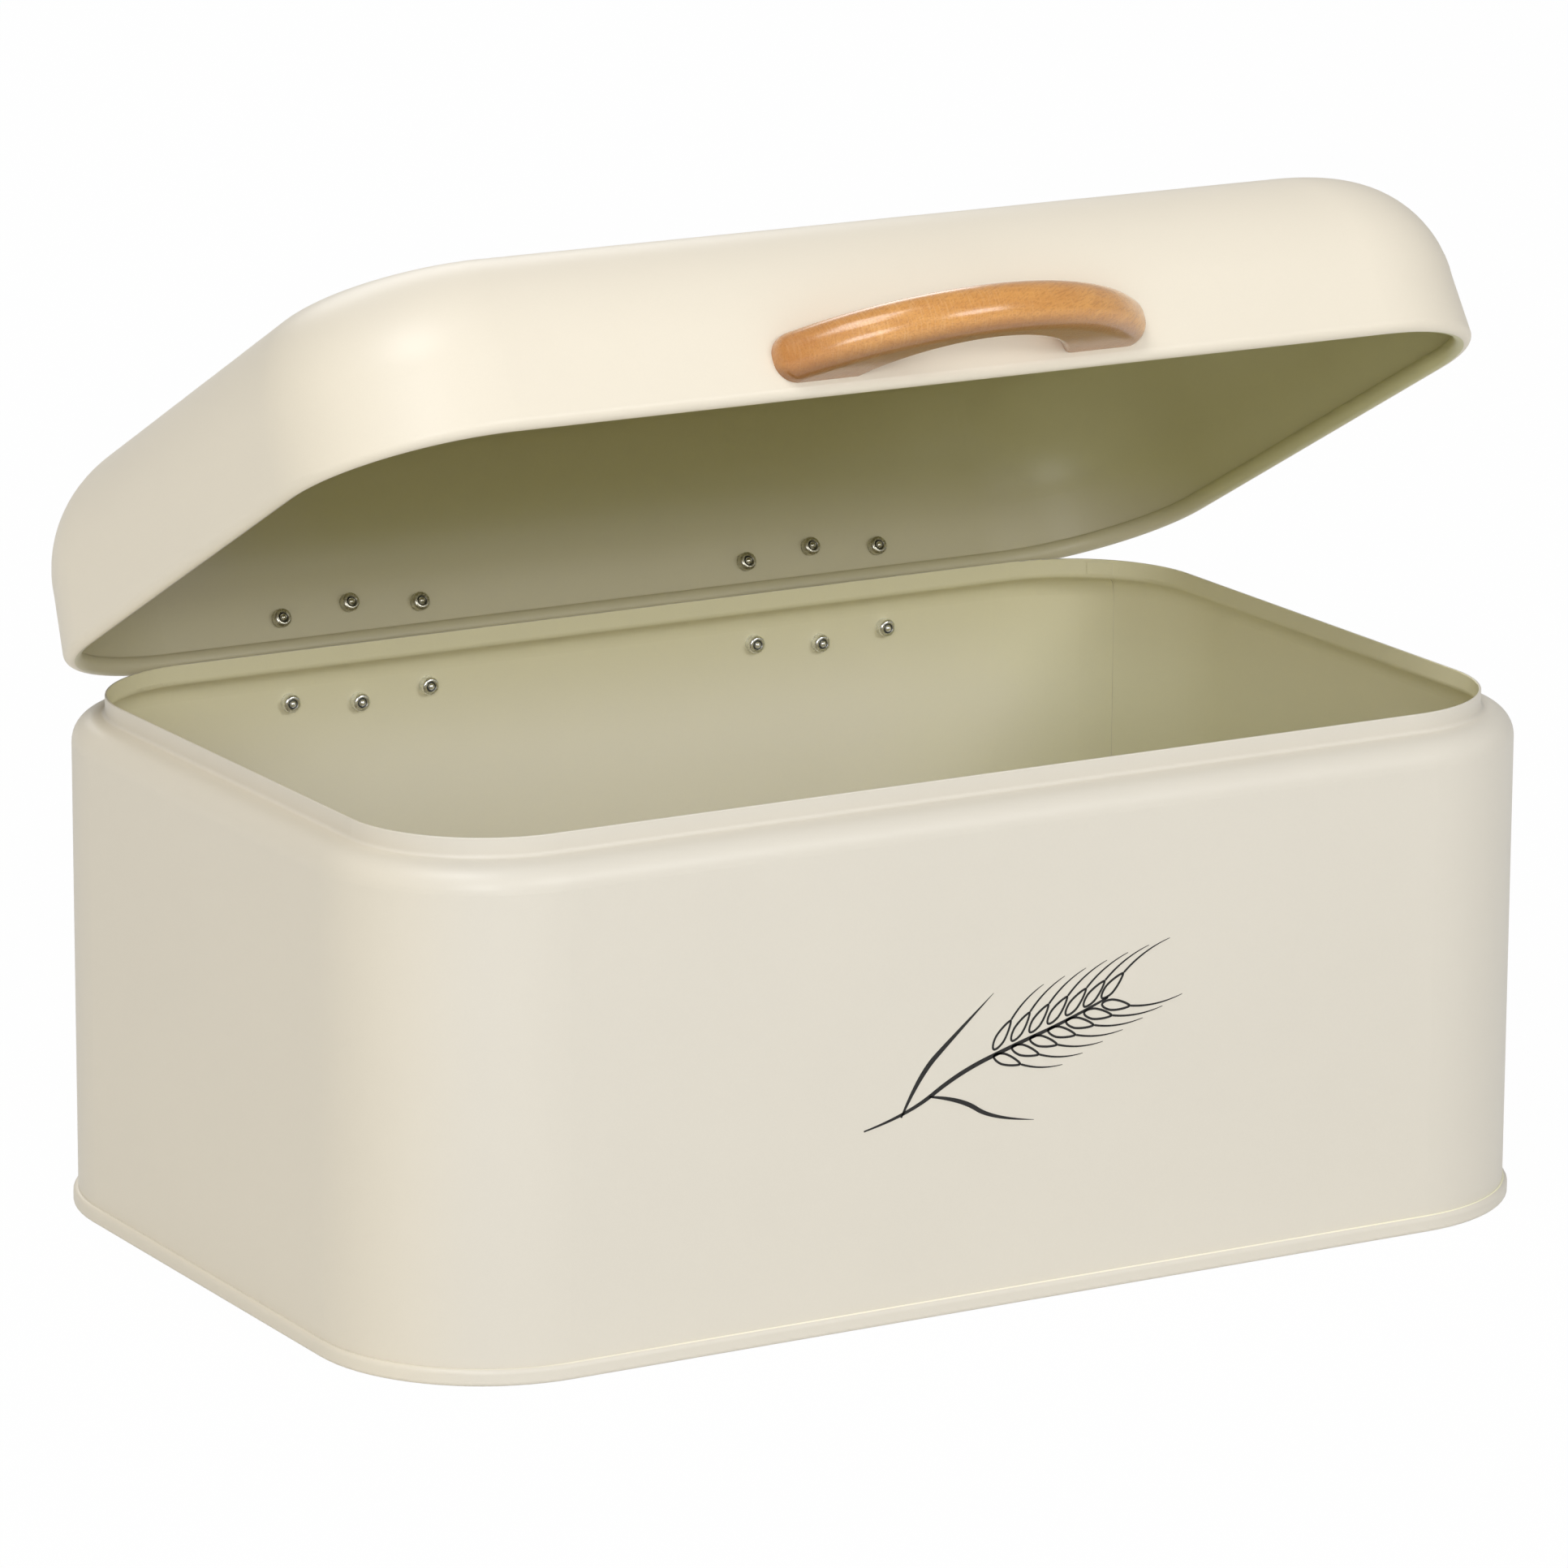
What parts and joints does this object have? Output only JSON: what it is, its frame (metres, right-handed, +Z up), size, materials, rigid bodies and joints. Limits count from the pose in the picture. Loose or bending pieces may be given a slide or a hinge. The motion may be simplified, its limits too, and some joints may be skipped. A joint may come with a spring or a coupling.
{
  "type": "bread box",
  "caption": "Rounded sheet-steel bread box with a hinged domed lid standing part open, a necked mouth, a hemmed foot and a wooden bow handle on the lid's front.",
  "frame": {"origin": "middle of the footprint, on the surface that the box stands on", "axes": "+X along the box's length, to the right seen from the front; +Y from the front to the hinged back; +Z up"},
  "size_m": [0.3376, 0.228, 0.2613],
  "materials": {
    "coat": "satin cream powder coat on sheet steel",
    "beech": "clear lacquered beech",
    "hardware": "zinc-plated steel, satin",
    "rivet": "plain, bright"
  },
  "bodies": {
    "box": {"body_wall": "coat", "base_pan": "coat", "hinge_left_box_leaf": "hardware", "hinge_left_pin": "hardware", "rivet_left_box_1": "rivet", "rivet_left_box_2": "rivet", "rivet_left_box_3": "rivet", "hinge_right_box_leaf": "hardware", "hinge_right_pin": "hardware", "rivet_right_box_1": "rivet", "rivet_right_box_2": "rivet", "rivet_right_box_3": "rivet"},
    "lid": {"lid_shell": "coat", "handle": "beech", "handle_screw_left": "hardware", "handle_washer_left": "hardware", "hinge_left_lid_leaf": "hardware", "rivet_left_lid_1": "rivet", "rivet_left_lid_2": "rivet", "rivet_left_lid_3": "rivet", "handle_screw_right": "hardware", "handle_washer_right": "hardware", "hinge_right_lid_leaf": "hardware", "rivet_right_lid_1": "rivet", "rivet_right_lid_2": "rivet", "rivet_right_lid_3": "rivet"}
  },
  "joints": [
    {"name": "lid_hinge", "type": "hinge", "parent": "box", "child": "lid", "pos_m": [0, 0.11005, 0.12744], "axis": [-1, 0, 0], "range_deg": [-27.6, 65.4]}
  ]
}
